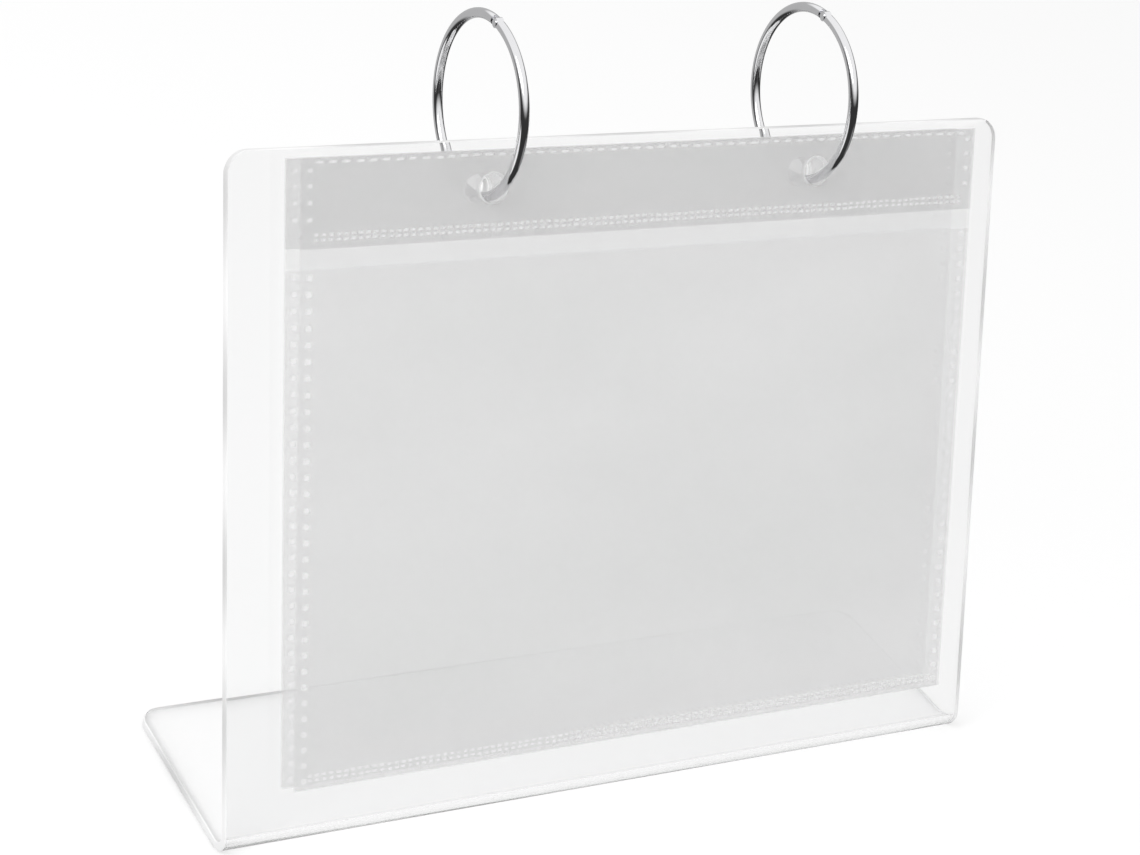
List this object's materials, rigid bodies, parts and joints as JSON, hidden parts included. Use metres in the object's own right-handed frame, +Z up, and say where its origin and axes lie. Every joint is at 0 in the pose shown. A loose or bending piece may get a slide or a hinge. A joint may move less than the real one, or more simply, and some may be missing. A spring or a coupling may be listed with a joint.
{
  "type": "photo album stand",
  "caption": "Leaning clear stand bent from one sheet, with book rings through its top edge that carry film photo pages to flip over.",
  "frame": {"origin": "on the floor, at the centre of the whole object's footprint", "axes": "+X along the width to the right seen from the front, +Y from the leaning panel towards the back of the base, +Z up"},
  "size_m": [0.195, 0.0714, 0.1725],
  "materials": {
    "clear_acrylic": "polished clear acrylic with sawn edges",
    "ring_chrome": "polished nickel-chrome plate on steel wire",
    "page_film": "translucent polypropylene film, satin"
  },
  "bodies": {
    "stand": {"stand": "clear_acrylic"},
    "left_ring": {"left_ring_front_half": "ring_chrome", "left_ring_hinge_pin": "ring_chrome"},
    "left_ring_rear": {"left_ring_rear_half": "ring_chrome"},
    "right_ring": {"right_ring_front_half": "ring_chrome", "right_ring_hinge_pin": "ring_chrome"},
    "right_ring_rear": {"right_ring_rear_half": "ring_chrome"},
    "page_1": {"page_1_back_film": "page_film", "page_1_header_strip": "page_film", "page_1_pocket_film": "page_film"},
    "page_2": {"page_2_back_film": "page_film", "page_2_header_strip": "page_film", "page_2_pocket_film": "page_film"},
    "page_3": {"page_3_back_film": "page_film", "page_3_header_strip": "page_film", "page_3_pocket_film": "page_film"},
    "page_4": {"page_4_back_film": "page_film", "page_4_header_strip": "page_film", "page_4_pocket_film": "page_film"},
    "page_5": {"page_5_back_film": "page_film", "page_5_header_strip": "page_film", "page_5_pocket_film": "page_film"},
    "page_6": {"page_6_back_film": "page_film", "page_6_header_strip": "page_film", "page_6_pocket_film": "page_film"}
  },
  "joints": [
    {"name": "left_ring_turn", "type": "hinge", "parent": "stand", "child": "left_ring", "pos_m": [-0.041, 0.01545, 0.15221], "axis": [-1, 0, 0], "range_deg": [0, 60]},
    {"name": "left_ring_open", "type": "hinge", "parent": "left_ring", "child": "left_ring_rear", "pos_m": [-0.041, 0.01444, 0.17139], "axis": [-1, 0, 0], "range_deg": [-65, 0]},
    {"name": "right_ring_turn", "type": "hinge", "parent": "stand", "child": "right_ring", "pos_m": [0.041, 0.01545, 0.15221], "axis": [-1, 0, 0], "range_deg": [0, 60]},
    {"name": "right_ring_open", "type": "hinge", "parent": "right_ring", "child": "right_ring_rear", "pos_m": [0.041, 0.01444, 0.17139], "axis": [-1, 0, 0], "range_deg": [-65, 0]},
    {"name": "page_1_flip", "type": "hinge", "parent": "stand", "child": "page_1", "pos_m": [0, 0.01545, 0.15221], "axis": [-1, 0, 0], "range_deg": [0, 300]},
    {"name": "page_2_flip", "type": "hinge", "parent": "page_1", "child": "page_2", "pos_m": [0, 0.01545, 0.15221], "axis": [-1, 0, 0], "range_deg": [0, 300]},
    {"name": "page_3_flip", "type": "hinge", "parent": "page_2", "child": "page_3", "pos_m": [0, 0.01545, 0.15221], "axis": [-1, 0, 0], "range_deg": [0, 300]},
    {"name": "page_4_flip", "type": "hinge", "parent": "page_3", "child": "page_4", "pos_m": [0, 0.01545, 0.15221], "axis": [-1, 0, 0], "range_deg": [0, 300]},
    {"name": "page_5_flip", "type": "hinge", "parent": "page_4", "child": "page_5", "pos_m": [0, 0.01545, 0.15221], "axis": [-1, 0, 0], "range_deg": [0, 300]},
    {"name": "page_6_flip", "type": "hinge", "parent": "page_5", "child": "page_6", "pos_m": [0, 0.01545, 0.15221], "axis": [-1, 0, 0], "range_deg": [0, 300]}
  ]
}
